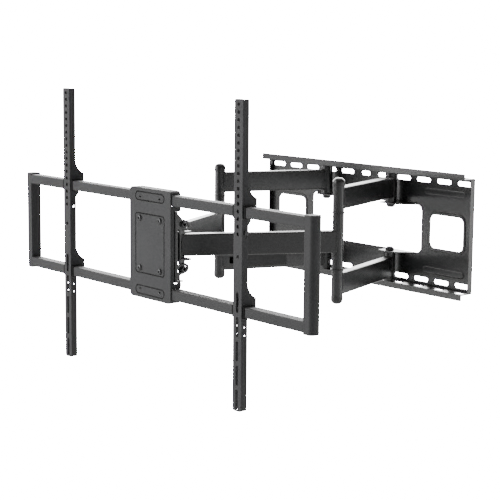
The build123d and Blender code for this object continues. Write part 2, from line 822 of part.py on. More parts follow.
core_rear = core_front + core_wall
core = block(-core_width / 2, core_width / 2, core_front, core_rear, -core_height / 2, core_height / 2)
spacers = []
centre_bolts = []
rail_screws = []
head_front = centre_front - centre_head_height
for side in (-1, 1):
    for level in (-1, 1):
        bolt_x = side * centre_bolt_reach
        bolt_z = level * centre_bolt_level
        core -= rod_y(bolt_x, bolt_z, core_front - 1, core_rear + 1, centre_bolt_radius)
        spacer = rod_y(bolt_x, bolt_z, rail_front, core_front, centre_bolt_radius * 2)
        spacers.append(spacer - rod_y(bolt_x, bolt_z, rail_front - 1, core_front + 1, centre_bolt_radius))
        bolt = rod_y(bolt_x, bolt_z, centre_front, core_rear, centre_bolt_radius)
        bolt += rod_y(bolt_x, bolt_z, head_front, centre_front, centre_head_radius)
        socket = extrude(Plane.XZ * RegularPolygon(centre_socket_radius, 6), 2 * centre_socket_depth)
        centre_bolts.append(bolt - Pos(bolt_x, head_front + centre_socket_depth, bolt_z) * socket)
        screw_x = side * rail_screw_reach
        screw_z = level * rail_screw_level
        screw = rod_y(screw_x, screw_z, centre_front, rail_front, rail_screw_radius)
        rail_screws.append(screw + rod_y(screw_x, screw_z, centre_front - rail_screw_head_height,
                                         centre_front, rail_screw_head))
core -= rod_y(0, 0, core_front - 1, core_rear + 1, level_bolt_radius)
save("frame_core_plate", core)
save("centre_spacers", group(spacers))
save("centre_bolts", group(centre_bolts))
save("rail_screws", group(rail_screws))

level_nut_front = tilt_rear + washer_gap
level_bolt = rod_y(0, 0, core_front - level_head_height, level_nut_front, level_bolt_radius)
level_bolt += rod_y(0, 0, core_front - level_head_height, core_front, level_head_radius)
level_bolt += rod_y(0, 0, level_nut_front, level_nut_front + level_nut_height, level_nut_radius)
save("level_pivot_bolt", level_bolt)

# ---- screen strips ------------------------------------------------------------------------

strip_half = strip_width / 2
strip_rear = strip_front + strip_depth
hook_rear = strip_front + hook_reach
notch_rear = rail_rear + slide_gap
lock_screw_y = strip_rear - lock_screw_depth


def flange_outline():
    """A strip's side flange in Y and Z: straight, with a flared hook over each rail."""
    y0 = strip_front
    y1 = strip_rear
    y2 = hook_rear
    grip = strip_front + strip_front_wall
    lines = Line((y0, strip_bottom), (y0, strip_top))
    lines += Line((y0, strip_top), (y1, strip_top))
    top = strip_top
    for rail_z in (rail_top, -rail_bottom):
        seat = rail_z + slide_gap
        under = rail_z - rail_height - slide_gap
        crest = seat + hook_tip + hook_wall
        lines += Line((y1, top), (y1, seat + hook_rise))
        half_way = (y1 + (y2 - y1) * hook_sweep, (seat + hook_rise + crest) / 2)
        lines += ThreePointArc((y1, seat + hook_rise), half_way, (y2, crest))
        lines += Line((y2, crest), (y2, seat - hook_tip))
        lines += Line((y2, seat - hook_tip), (notch_rear, seat - hook_tip))
        lines += Line((notch_rear, seat - hook_tip), (notch_rear, seat))
        lines += Line((notch_rear, seat), (grip, seat))
        lines += Line((grip, seat), (grip, under))
        lines += Line((grip, under), (y1, under))
        top = under
    lines += Line((y1, top), (y1, strip_bottom))
    lines += Line((y1, strip_bottom), (y0, strip_bottom))
    return lines


def make_strip(x):
    """An upright channel with screen holes and slots in its front, and hooked side flanges."""
    body = panel_y(x - strip_half, x + strip_half, strip_bottom, strip_top, strip_front,
                   strip_front + strip_front_wall, strip_corner)
    envelope = panel_y(x - strip_half, x + strip_half, strip_bottom, strip_top, strip_front,
                       hook_rear + 1, strip_corner)
    for side in (-1, 1):
        outer = x + side * strip_half
        flange = prism_x(flange_outline(), outer - side * strip_wall, outer)
        body += flange & envelope
    for step in list(range(hole_count)) + [hole_single_step]:
        hole_z = strip_top - hole_first - step * hole_pitch
        body -= rod_y(x, hole_z, strip_front - 1, strip_front + strip_front_wall + 1, hole_radius)
    for step in range(long_slot_count):
        slot_z = strip_top - long_slot_first - step * long_slot_pitch
        body -= stadium_y(x, slot_z, long_slot_length, 2 * hole_radius, strip_front - 1,
                          strip_front + strip_front_wall + 1, upright=True)
    for level in tie_hole_levels:
        body -= rod_x(strip_rear - tie_hole_depth, -level, x - strip_width, x + strip_width,
                      tie_hole_radius)
    lock_z = rail_bottom - lock_screw_drop
    body -= block(x - strip_width, x + strip_width, lock_screw_y - lock_screw_radius,
                  lock_screw_y + lock_screw_radius, lock_z - lock_travel, lock_z)
    for end in (0, lock_travel):
        body -= rod_x(lock_screw_y, lock_z - end, x - strip_width, x + strip_width, lock_screw_radius)
    return body


def make_lock(x):
    """The sliding latch under the upper rail that keeps the strip from lifting off."""
    half = lock_width / 2
    top = rail_bottom - slide_gap
    front = strip_front + strip_front_wall + slide_gap
    rear = strip_rear - 5 * slide_gap
    lip = notch_rear - 5 * slide_gap
    foot = top - lock_height
    outline = Polyline((front, top), (front, foot), (rear, foot), (rear, top - lock_height * 0.63),
                       (lip, top - lock_height * 0.21), (lip, top), close=True)
    body = prism_x(outline, x - half, x + half)
    body -= rod_x(lock_screw_y, rail_bottom - lock_screw_drop, x - half - 1, x + half + 1,
                  lock_screw_radius - slide_gap)
    return body


def make_lock_screw(x):
    """The screw through both flanges and the latch."""
    z = rail_bottom - lock_screw_drop
    reach = strip_half + slide_gap
    body = rod_x(lock_screw_y, z, x - reach, x + reach, lock_screw_radius - slide_gap)
    for side in (-1, 1):
        body += rod_x(lock_screw_y, z, x + side * reach, x + side * (reach + lock_screw_head_height),
                      lock_screw_head)
    return body


for label, strip_x in (("right", strip_right_place), ("left", strip_left_place)):
    save(f"screen_strip_{label}", make_strip(strip_x))
    save(f"strip_latch_{label}", make_lock(strip_x))
    save(f"latch_screw_{label}", make_lock_screw(strip_x))
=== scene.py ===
import bmesh
import bpy
import json
import math
from mathutils import Matrix, Vector


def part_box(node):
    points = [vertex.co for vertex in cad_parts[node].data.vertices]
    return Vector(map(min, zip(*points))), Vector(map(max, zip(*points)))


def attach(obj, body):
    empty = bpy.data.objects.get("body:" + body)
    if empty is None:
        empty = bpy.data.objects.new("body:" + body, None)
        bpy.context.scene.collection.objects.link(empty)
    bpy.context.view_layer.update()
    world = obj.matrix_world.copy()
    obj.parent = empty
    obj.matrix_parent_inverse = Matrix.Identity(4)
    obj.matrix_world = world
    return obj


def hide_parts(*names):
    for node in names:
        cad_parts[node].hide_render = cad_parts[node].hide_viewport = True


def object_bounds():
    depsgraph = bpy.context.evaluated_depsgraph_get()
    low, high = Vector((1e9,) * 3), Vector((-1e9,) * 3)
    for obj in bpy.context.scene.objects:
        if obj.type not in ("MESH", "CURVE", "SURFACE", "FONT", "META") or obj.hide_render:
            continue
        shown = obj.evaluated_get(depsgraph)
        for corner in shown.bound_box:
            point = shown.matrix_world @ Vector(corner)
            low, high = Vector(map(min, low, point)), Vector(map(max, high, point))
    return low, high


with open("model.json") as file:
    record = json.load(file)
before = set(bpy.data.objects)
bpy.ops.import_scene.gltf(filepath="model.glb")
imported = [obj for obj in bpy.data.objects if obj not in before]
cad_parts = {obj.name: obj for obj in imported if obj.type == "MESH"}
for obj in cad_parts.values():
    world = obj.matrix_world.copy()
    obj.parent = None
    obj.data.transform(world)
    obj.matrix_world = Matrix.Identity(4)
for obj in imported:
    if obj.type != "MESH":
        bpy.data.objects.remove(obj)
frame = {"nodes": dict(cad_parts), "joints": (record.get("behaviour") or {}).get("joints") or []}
cad_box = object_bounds()
nodes = frame["nodes"]

# ---- Studio -------------------------------------------------------------------------------
# The mount hangs free above a plain pale floor in a white studio: a bright backdrop behind it,
# a tall soft box at the front left, and two narrow ones at the right for the edges.
def world_node(kind, **settings):
    """One node of the studio's world."""
    node = world.node_tree.nodes.new(kind)
    for label, value in settings.items():
        setattr(node, label, value)
    return node


def glow(direction, narrow, strength):
    """A soft patch of light in one direction, as a number socket of the world."""
    patch = world_node("ShaderNodeVectorMath", operation="DOT_PRODUCT")
    patch.inputs[1].default_value = Vector(direction).normalized()
    world.node_tree.links.new(sky.outputs["Generated"], patch.inputs[0])
    ramp = world_node("ShaderNodeMapRange", interpolation_type="SMOOTHSTEP")
    ramp.inputs["From Min"].default_value = narrow
    ramp.inputs["From Max"].default_value = 1.0
    ramp.inputs["To Max"].default_value = strength
    world.node_tree.links.new(patch.outputs["Value"], ramp.inputs["Value"])
    return ramp.outputs["Result"]


def world_sum(first, second):
    """Two number sockets of the world added."""
    node = world_node("ShaderNodeMath", operation="ADD")
    world.node_tree.links.new(first, node.inputs[0])
    if isinstance(second, float):
        node.inputs[1].default_value = second
    else:
        world.node_tree.links.new(second, node.inputs[1])
    return node.outputs["Value"]


world = bpy.data.worlds.new("white_studio")
bpy.context.scene.world = world
world.use_nodes = True
sky = world_node("ShaderNodeTexCoord")
backdrop_glow = glow((-0.75, 0.64, 0.30), 0.55, 13.0)
ceiling_glow = glow((0.0, 0.0, 1.0), 0.0, 0.3)
front_glow = glow((-0.75, -0.64, -0.05), 0.45, 1.1)
room_haze = 0.07
white_colour = (1.0, 1.0, 1.0, 1.0)
white_strength = 30.0
room_light = world_sum(backdrop_glow, ceiling_glow)
room_light = world_sum(room_light, front_glow)
room_light = world_sum(room_light, room_haze)
room = world.node_tree.nodes["Background"]
world.node_tree.links.new(room_light, room.inputs["Strength"])
white = world_node("ShaderNodeBackground")
white.inputs["Color"].default_value = white_colour
white.inputs["Strength"].default_value = white_strength
room.inputs["Color"].default_value = white_colour
seen = world_node("ShaderNodeLightPath")
either = world_node("ShaderNodeMixShader")
world.node_tree.links.new(seen.outputs["Is Camera Ray"], either.inputs[0])
world.node_tree.links.new(room.outputs["Background"], either.inputs[1])
world.node_tree.links.new(white.outputs["Background"], either.inputs[2])
world_surface = world.node_tree.nodes["World Output"].inputs["Surface"]
world.node_tree.links.new(either.outputs["Shader"], world_surface)


def soft_box(name, place, target, width, height, power):
    """A rectangular lamp at a place, turned to face a point."""
    lamp = bpy.data.lights.new(name, "AREA")
    lamp.shape = "RECTANGLE"
    lamp.size = width
    lamp.size_y = height
    lamp.energy = power
    holder = bpy.data.objects.new(name, lamp)
    holder.location = place
    aim = Vector(target) - Vector(place)
    holder.rotation_euler = aim.to_track_quat("-Z", "Y").to_euler()
    bpy.context.scene.collection.objects.link(holder)


middle = (0.0, -0.35, 0.0)
plate_end = (0.34, 0.0, 0.0)
soft_box("front_box", (-1.6, -3.0, 0.7), middle, 1.8, 2.4, 100.0)
soft_box("side_box", (3.0, 0.0, 0.0), middle, 0.22, 3.0, 9.0)
soft_box("edge_box", (2.6, 2.2, -0.3), plate_end, 0.5, 2.4, 26.0)
soft_box("top_box", (0.3, -0.2, 2.6), middle, 1.6, 1.6, 9.0)

floor_drop = 0.45
floor_size = 60.0
floor_mesh = bpy.data.meshes.new("studio_floor")
half = floor_size / 2
floor_level = cad_box[0][2] - floor_drop
floor_mesh.from_pydata([(-half, -half, floor_level), (half, -half, floor_level),
                        (half, half, floor_level), (-half, half, floor_level)], [], [(0, 1, 2, 3)])
studio_floor = bpy.data.objects.new("studio_floor", floor_mesh)
bpy.context.scene.collection.objects.link(studio_floor)
floor_material = bpy.data.materials.new("pale_floor")
floor_material.use_nodes = True
floor_tree = floor_material.node_tree
floor_shader = floor_tree.nodes["Principled BSDF"]
floor_shader.inputs["Base Color"].default_value = (0.5, 0.5, 0.5, 1.0)
floor_shader.inputs["Roughness"].default_value = 0.9
floor_shader.inputs["Emission Color"].default_value = white_colour
floor_seen = floor_tree.nodes.new("ShaderNodeLightPath")
floor_glow = floor_tree.nodes.new("ShaderNodeMath")
floor_glow.operation = "MULTIPLY"
floor_glow.inputs[1].default_value = white_strength
floor_tree.links.new(floor_seen.outputs["Is Camera Ray"], floor_glow.inputs[0])
floor_tree.links.new(floor_glow.outputs["Value"], floor_shader.inputs["Emission Strength"])
floor_mesh.materials.append(floor_material)

# ---- Camera -------------------------------------------------------------------------------
# It stands in front of the right end of the screen frame, a little above the arms, with a
# long lens, so that the strips and the frame stay nearly upright.
camera_place = (2.37494, -2.38589, 0.44274)
camera_data = bpy.data.cameras.new("camera")
camera_data.sensor_width = 36.0
camera_data.lens = 99.87
camera = bpy.data.objects.new("camera", camera_data)
bpy.context.scene.collection.objects.link(camera)
bpy.context.scene.camera = camera
turn = math.radians(49.66)
dip = math.radians(8.77)
roll = math.radians(0.54)
along = Vector((-math.sin(turn) * math.cos(dip), math.cos(turn) * math.cos(dip), -math.sin(dip)))
right = Vector((math.cos(turn), math.sin(turn), 0.0))
up = right.cross(along)
leaned_right = right * math.cos(roll) + up * math.sin(roll)
leaned_up = up * math.cos(roll) - right * math.sin(roll)
camera_turn = Matrix((leaned_right, leaned_up, -along)).transposed().to_4x4()
camera.matrix_world = Matrix.Translation(camera_place) @ camera_turn

# ---- Wall plate ---------------------------------------------------------------------------
# A tray folded from 2.5 mm mild steel, slotted for the wall bolts, with its notch tabs bent
# forward. It has a baked satin black powder coat, like the arms: orange peel and rubbed edges.
def new_group(name, outputs, inputs):
    """A shader node group with named outputs, and inputs with their values."""
    group = bpy.data.node_groups.new(name, "ShaderNodeTree")
    for label, kind in outputs:
        group.interface.new_socket(label, in_out="OUTPUT", socket_type=kind)
    for label, kind, value in inputs:
        socket = group.interface.new_socket(label, in_out="INPUT", socket_type=kind)
        socket.default_value = value
    return group, group.nodes.new("NodeGroupInput"), group.nodes.new("NodeGroupOutput")


def feed(tree, side, socket):
    """A number or colour set on a socket, or another socket linked to it."""
    if isinstance(side, (int, float, tuple)):
        socket.default_value = side
    else:
        tree.links.new(side, socket)


def maths(tree, operation, *sides, clamp=False):
    """One Math node over numbers and sockets."""
    node = tree.nodes.new("ShaderNodeMath")
    node.operation = operation
    node.use_clamp = clamp
    for index, side in enumerate(sides):
        feed(tree, side, node.inputs[index])
    return node.outputs["Value"]


def mix_colour(tree, factor, low, high):
    """A colour between two colours or colour sockets."""
    node = tree.nodes.new("ShaderNodeMix")
    node.data_type = "RGBA"
    feed(tree, factor, node.inputs["Factor"])
    feed(tree, low, node.inputs[6])
    feed(tree, high, node.inputs[7])
    return node.outputs[2]


def noise(tree, position, scale, detail=2.0, roughness=0.5):
    """Noise over the piece's own coordinates; the scale is in lumps to the metre."""
    node = tree.nodes.new("ShaderNodeTexNoise")
    node.inputs["Detail"].default_value = detail
    node.inputs["Roughness"].default_value = roughness
    tree.links.new(position, node.inputs["Vector"])
    feed(tree, scale, node.inputs["Scale"])
    return node.outputs["Fac"]


def object_place(tree):
    """The piece's own coordinates."""
    return tree.nodes.new("ShaderNodeTexCoord").outputs["Object"]


rubbed_edges, edge_in, edge_out = new_group(
    "rubbed_edges", [("Mask", "NodeSocketFloat")],
    [("Reach", "NodeSocketFloat", 0.0012), ("Amount", "NodeSocketFloat", 0.6),
     ("Breaks per Metre", "NodeSocketFloat", 60.0)])
edge_round = rubbed_edges.nodes.new("ShaderNodeBevel")
edge_round.samples = 4
rubbed_edges.links.new(edge_in.outputs["Reach"], edge_round.inputs["Radius"])
edge_flat = rubbed_edges.nodes.new("ShaderNodeNewGeometry")
edge_dot = rubbed_edges.nodes.new("ShaderNodeVectorMath")
edge_dot.operation = "DOT_PRODUCT"
rubbed_edges.links.new(edge_round.outputs["Normal"], edge_dot.inputs[0])
rubbed_edges.links.new(edge_flat.outputs["Normal"], edge_dot.inputs[1])
edge_turn = maths(rubbed_edges, "SUBTRACT", 1.0, edge_dot.outputs["Value"], clamp=True)
edge_turn = maths(rubbed_edges, "MULTIPLY", edge_turn, 6.0, clamp=True)
edge_place = object_place(rubbed_edges)
edge_break = noise(rubbed_edges, edge_place, edge_in.outputs["Breaks per Metre"], 4.0, 0.6)
edge_break = maths(rubbed_edges, "MULTIPLY_ADD", edge_break, 2.2, -0.55, clamp=True)
edge_mask = maths(rubbed_edges, "MULTIPLY", edge_turn, edge_break)
edge_mask = maths(rubbed_edges, "MULTIPLY", edge_mask, edge_in.outputs["Amount"], clamp=True)
rubbed_edges.links.new(edge_mask, edge_out.inputs["Mask"])

orange_peel, peel_in, peel_out = new_group(
    "orange_peel", [("Height", "NodeSocketFloat"), ("Speckle", "NodeSocketFloat"),
                    ("Cloud", "NodeSocketFloat")],
    [("Lumps per Metre", "NodeSocketFloat", 700.0), ("Clouds per Metre", "NodeSocketFloat", 9.0)])
peel_place = object_place(orange_peel)
peel_large = noise(orange_peel, peel_place, peel_in.outputs["Lumps per Metre"], 3.0, 0.55)
peel_scale = maths(orange_peel, "MULTIPLY", peel_in.outputs["Lumps per Metre"], 3.2)
peel_fine = noise(orange_peel, peel_place, peel_scale, 1.0)
orange_peel.links.new(maths(orange_peel, "MULTIPLY_ADD", peel_fine, 0.35, peel_large),
                      peel_out.inputs["Height"])
orange_peel.links.new(peel_fine, peel_out.inputs["Speckle"])
orange_peel.links.new(noise(orange_peel, peel_place, peel_in.outputs["Clouds per Metre"], 3.0),
                      peel_out.inputs["Cloud"])

settled_dust, dust_in, dust_out = new_group(
    "settled_dust", [("Mask", "NodeSocketFloat")],
    [("Amount", "NodeSocketFloat", 0.2), ("Specks per Metre", "NodeSocketFloat", 260.0)])
dust_normal = settled_dust.nodes.new("ShaderNodeSeparateXYZ")
settled_dust.links.new(settled_dust.nodes.new("ShaderNodeNewGeometry").outputs["Normal"],
                       dust_normal.inputs["Vector"])
dust_up = maths(settled_dust, "MULTIPLY_ADD", dust_normal.outputs["Z"], 1.6, -0.6, clamp=True)
dust_place = object_place(settled_dust)
dust_specks = noise(settled_dust, dust_place, dust_in.outputs["Specks per Metre"], 6.0, 0.7)
dust_specks = maths(settled_dust, "MULTIPLY_ADD", dust_specks, 1.8, -0.5, clamp=True)
dust_mask = maths(settled_dust, "MULTIPLY", dust_up, dust_specks)
dust_mask = maths(settled_dust, "MULTIPLY", dust_mask, dust_in.outputs["Amount"])
settled_dust.links.new(dust_mask, dust_out.inputs["Mask"])


# Painted shade: an occlusion mask that darkens creases, grooves and recesses where shade falls.
painted_crevice_shade, crevice_shade_in, crevice_shade_out = new_group(
    "painted_crevice_shade", [("Mask", "NodeSocketFloat")], [("Reach", "NodeSocketFloat", 0.003)])
crevice_shade_occlusion = painted_crevice_shade.nodes.new("ShaderNodeAmbientOcclusion")
crevice_shade_occlusion.samples = 8
crevice_shade_occlusion.only_local = True
painted_crevice_shade.links.new(crevice_shade_in.outputs["Reach"], crevice_shade_occlusion.inputs["Distance"])
crevice_shade_mask = maths(painted_crevice_shade, "SUBTRACT", 1.0, crevice_shade_occlusion.outputs["AO"], clamp=True)
crevice_shade_mask = maths(painted_crevice_shade, "MULTIPLY", crevice_shade_mask, 4.0, clamp=True)
painted_crevice_shade.links.new(crevice_shade_mask, crevice_shade_out.inputs["Mask"])


def place_group(tree, group, **values):
    """A group node in a material, with its own values."""
    node = tree.nodes.new("ShaderNodeGroup")
    node.node_tree = group
    for label, value in values.items():
        node.inputs[label.replace("_", " ")].default_value = value
    return node


def bump(tree, height, strength, distance):
    """A Bump node over a height socket, in metres."""
    node = tree.nodes.new("ShaderNodeBump")
    node.inputs["Strength"].default_value = strength
    node.inputs["Distance"].default_value = distance
    tree.links.new(height, node.inputs["Height"])
    return node.outputs["Normal"]


def new_material(name):
    """A node material, with its tree and its shader."""
    material = bpy.data.materials.new(name)
    material.use_nodes = True
    return material, material.node_tree, material.node_tree.nodes["Principled BSDF"]


dust_grey = (0.30, 0.29, 0.28, 1.0)
hollow_shade_black = (0.002, 0.002, 0.002, 1.0)


def powder_coat(name, dark, light, rubbed, gloss, shine, lumps, relief):
    """A powder coat: two close blacks in clouds, painted shade darkening its hollows, rubbed edges, dust
    and orange peel.
    """
    material, tree, shader = new_material(name)
    shader.inputs["IOR"].default_value = shine
    painted_hollow_shade = place_group(tree, painted_crevice_shade, Reach=0.0035)
    peel = place_group(tree, orange_peel, Lumps_per_Metre=lumps)
    edges = place_group(tree, rubbed_edges, Reach=0.0012, Amount=0.55, Breaks_per_Metre=70.0)
    dust = place_group(tree, settled_dust, Amount=0.10)
    paint = mix_colour(tree, peel.outputs["Cloud"], dark, light)
    paint = mix_colour(tree, edges.outputs["Mask"], paint, rubbed)
    paint = mix_colour(tree, dust.outputs["Mask"], paint, dust_grey)
    # Painted shade: hollows, grooves and creases are darkened towards black.
    paint = mix_colour(tree, painted_hollow_shade.outputs["Mask"], paint, hollow_shade_black)
    tree.links.new(paint, shader.inputs["Base Color"])
    rough = maths(tree, "MULTIPLY_ADD", peel.outputs["Speckle"], 0.12, gloss)
    rough = maths(tree, "MULTIPLY_ADD", painted_hollow_shade.outputs["Mask"], 0.5, rough)
    tree.links.new(maths(tree, "ADD", rough, dust.outputs["Mask"], clamp=True), shader.inputs["Roughness"])
    tree.links.new(bump(tree, peel.outputs["Height"], 0.5, relief), shader.inputs["Normal"])
    return material


def ease_edges(piece, width):
    """The eased edge of a coated part: a small bevel on its sharp corners, its flats kept flat."""
    weld = piece.modifiers.new("joined_corners", "WELD")
    weld.merge_threshold = 0.00001
    ease = piece.modifiers.new("eased_edges", "BEVEL")
    ease.width = width
    ease.segments = 2
    ease.limit_method = "ANGLE"
    ease.angle_limit = math.radians(35.0)
    flats = piece.modifiers.new("flat_faces", "WEIGHTED_NORMAL")
    flats.weight = 100
    flats.mode = "FACE_AREA"
    for face in piece.data.polygons:
        face.use_smooth = True


def finish_nodes(names, material, edge):
    """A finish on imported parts: their material, and the eased edge that it leaves."""
    for name in names:
        piece = nodes[name]
        piece.data.materials.clear()
        piece.data.materials.append(material)
        ease_edges(piece, edge)


def both(*stems):
    """The right and the left part of each name."""
    return [f"{stem}_{side}" for stem in stems for side in ("right", "left")]


satin_coat = powder_coat("satin_black_coat", (0.007, 0.007, 0.0073, 1.0), (0.013, 0.013, 0.0135, 1.0),
                         (0.13, 0.13, 0.135, 1.0), 0.22, 1.55, 650.0, 0.00005)
finish_nodes(["wall_plate"], satin_coat, 0.0006)


def make_piece(name, form, material, body, angle=30.0):
    """A bmesh made into a finished piece that rides on a body."""
    mesh = bpy.data.meshes.new(name)
    bmesh.ops.recalc_face_normals(form, faces=form.faces)
    for face in form.faces:
        face.smooth = True
    for edge in form.edges:
        if len(edge.link_faces) == 2 and edge.calc_face_angle(0.0) > math.radians(angle):
            edge.smooth = False
    form.to_mesh(mesh)
    form.free()
    mesh.materials.append(material)
    piece = bpy.data.objects.new(name, mesh)
    bpy.context.scene.collection.objects.link(piece)
    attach(piece, body)
    return piece


bead_half_width = 0.0021
bead_crest = 0.0020
bead_foot = -0.0024
bead_corner_steps = 8
bead_arch_steps = 6


def pressed_bead(form, centre_x, centre_z, width, height, corner):
    """A half-round bead pressed forward along a rounded rectangle on the tray's face."""
    loops = []
    for quarter in range(4):
        hub_x = centre_x + (width / 2 - corner) * (1 if quarter in (0, 3) else -1)
        hub_z = centre_z + (height / 2 - corner) * (1 if quarter in (0, 1) else -1)
        for step in range(bead_corner_steps + 1):
            angle = math.pi / 2 * (quarter + step / bead_corner_steps)
            loop = []
            for lift in range(bead_arch_steps + 1):
                arch = math.pi * lift / bead_arch_steps
                reach = corner + bead_half_width * math.cos(arch)
                depth = bead_foot - bead_crest * math.sin(arch)
                loop.append(form.verts.new((hub_x + reach * math.cos(angle), depth,
                                            hub_z + reach * math.sin(angle))))
            loops.append(loop)
    for here, after in zip(loops, loops[1:] + loops[:1]):
        for lift in range(bead_arch_steps + 1):
            beside = (lift + 1) % (bead_arch_steps + 1)
            form.faces.new((here[lift], here[beside], after[beside], after[lift]))


bead_form = bmesh.new()
window_reach = 0.264
rib_reach = 0.2575
rib_level = 0.092
window_bead = (0.112, 0.088, 0.019)
rib_bead = (0.121, 0.012, 0.0059)
for side in (-1, 1):
    pressed_bead(bead_form, side * window_reach, 0.0, *window_bead)
    for level in (-1, 1):
        pressed_bead(bead_form, side * rib_reach, level * rib_level, *rib_bead)
make_piece("pressed_beads", bead_form, satin_coat, "wall", 60.0)

# ---- Wall pivots --------------------------------------------------------------------------
# Four M12 flange bolts hold the arms between the tray's outer flanges and its notch tabs. Each
# has a low socket head outside and a nylon-insert lock nut inside, in black zinc.
def zinc(name, dark, light, rough):
    """Black zinc plating: a dull metal with a cloudy sheen and bright rubbed corners."""
    material, tree, shader = new_material(name)
    peel = place_group(tree, orange_peel, Lumps_per_Metre=1400.0, Clouds_per_Metre=120.0)
    edges = place_group(tree, rubbed_edges, Reach=0.0007, Amount=0.8, Breaks_per_Metre=240.0)
    plate = mix_colour(tree, peel.outputs["Cloud"], dark, light)
    plate = mix_colour(tree, edges.outputs["Mask"], plate, (0.42, 0.42, 0.43, 1.0))
    tree.links.new(plate, shader.inputs["Base Color"])
    tree.links.new(maths(tree, "MULTIPLY_ADD", peel.outputs["Speckle"], 0.16, rough),
                   shader.inputs["Roughness"])
    shader.inputs["Metallic"].default_value = 0.75
    tree.links.new(bump(tree, peel.outputs["Height"], 0.3, 0.00003), shader.inputs["Normal"])
    return material


def hexagon(across):
    """The reach of a hexagon's side at an angle, from its width across the flats."""
    def reach(angle):
        return across / 2 / math.cos(angle % (math.pi / 3) - math.pi / 6)
    return reach


def cut_hexagon(across, corner):
    """A hexagon whose corners a cone has turned down to a circle."""
    side = hexagon(across)
    return lambda angle: min(side(angle), corner)


def turned(form, place, axis, rings, steps=48):
    """A closed turned shape added to a bmesh: rings of (reach, height) along an axis."""
    line = Vector(axis).normalized()
    across = line.orthogonal().normalized()
    beside = line.cross(across)
    loops = []
    for reach, height in rings:
        loop = []
        for step in range(steps):
            angle = 2 * math.pi * step / steps
            size = reach(angle) if callable(reach) else reach
            spoke = across * math.cos(angle) + beside * math.sin(angle)
            loop.append(form.verts.new(Vector(place) + line * height + spoke * size))
        loops.append(loop)
    for low, high in zip(loops, loops[1:]):
        for step in range(steps):
            after = (step + 1) % steps
            form.faces.new((low[step], low[after], high[after], high[step]))
    form.faces.new(list(reversed(loops[0])))
    form.faces.new(loops[-1])


def socket_head(form, place, axis, radius, height, key, depth):
    """A low domed screw head with a hexagon socket; its back is at the place."""
    turned(form, place, axis,
           [(radius * 0.97, 0.0), (radius, height * 0.12), (radius * 0.97, height * 0.35),
            (radius * 0.89, height * 0.62), (radius * 0.77, height * 0.84), (radius * 0.64, height * 0.96),
            (hexagon(key * 1.08), height), (hexagon(key), height - depth * 0.12),
            (hexagon(key), height - depth)])


nut_thread_turns = 9


def lock_nut(form, place, axis, across, height, bolt):
    """A chamfered hexagon nut with its plastic ring, and the bolt's thread coming through."""
    corner = across * 0.55
    cone = height * 0.14
    turned(form, place, axis,
           [(cut_hexagon(across, corner * 0.96), 0.0), (cut_hexagon(across, corner * 1.05), cone),
            (hexagon(across), cone * 1.6), (hexagon(across), height * 0.62),
            (cut_hexagon(across, corner * 0.93), height * 0.72), (across * 0.43, height * 0.76),
            (across * 0.42, height * 0.93), (across * 0.38, height * 0.98), (bolt * 1.08, height * 0.98),
            (bolt * 1.04, height * 0.80)])
    thread = [(bolt * 0.9, 0.0)]
    for thread_turn in range(nut_thread_turns):
        low = height * (0.55 + 0.45 * thread_turn / nut_thread_turns)
        thread += [(bolt, low), (bolt * 0.93, low + height * 0.025)]
    thread.append((bolt * 0.82, height))
    turned(form, place, axis, thread, 24)


black_zinc = zinc("black_zinc", (0.025, 0.025, 0.026, 1.0), (0.055, 0.055, 0.057, 1.0), 0.2)
wall_bolt_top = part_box("wall_pivot_bolts")[1][2]
wall_nut_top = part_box("wall_pivot_nuts")[1][2]
pivot = {joint["name"]: Vector(joint["pos_m"]) for joint in frame["joints"] if "pos_m" in joint}
wall_bolt_radius = 0.006
wall_nut_height = 0.009
wall_head_height = 0.0025
wall_nut_across = 0.018
wall_head_radius = 0.0072
wall_key = 0.008
wall_key_depth = 0.002
wall_head_seat = wall_bolt_top - wall_head_height
nut_form = bmesh.new()
head_form = bmesh.new()
for hinge in ("fold", "fold_left"):
    for level in (-1, 1):
        spot = pivot[hinge].copy()
        spot.z = level * wall_nut_top
        lock_nut(nut_form, spot, (0, 0, -level), wall_nut_across, wall_nut_height, wall_bolt_radius)
        shank = [(wall_bolt_radius, 0.0), (wall_bolt_radius, wall_head_seat - wall_nut_top)]
        turned(head_form, spot, (0, 0, level), shank, 24)
        spot.z = level * wall_head_seat
        socket_head(head_form, spot, (0, 0, level), wall_head_radius, wall_head_height, wall_key,
                    wall_key_depth)
wall_nuts = make_piece("wall_lock_nuts", nut_form, black_zinc, "wall")
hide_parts("wall_pivot_nuts")
wall_bolts = make_piece("wall_socket_bolts", head_form, black_zinc, "wall")
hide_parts("wall_pivot_bolts")

# ---- Rear arms ----------------------------------------------------------------------------
# Four arms of 48 x 22 mm steel tube, coped round a sleeve at each end and welded down both
# sides of it. The weld beads are laid in short overlapping pools and painted over.
finish_nodes(both("rear_upper_arm", "rear_lower_arm"), satin_coat, 0.0007)
arm_half_width = 0.011
arm_half_height = 0.024
arm_level = 0.095
wall_sleeve_radius = 0.014
elbow_sleeve_radius = 0.0125
weld_radius = 0.0019
weld_pitch = 0.0024
weld_end_gap = 0.002


def weld_bead(form, start, stop, phase):
    """A run of overlapping weld pools between two points, half sunk in the joint."""
    line = Vector(stop) - Vector(start)
    length = line.length
    line.normalize()
    samples = round(length / weld_pitch * 4)
    rings = []
    for sample in range(samples + 1):
        along_run = length * sample / samples
        pool = abs(math.sin(math.pi * along_run / weld_pitch + phase))
        taper = min(1.0, 3.0 * min(sample, samples - sample) / samples + 0.35)
        rings.append((weld_radius * taper * (0.84 + 0.16 * pool), along_run))
    turned(form, start, line, rings, 10)


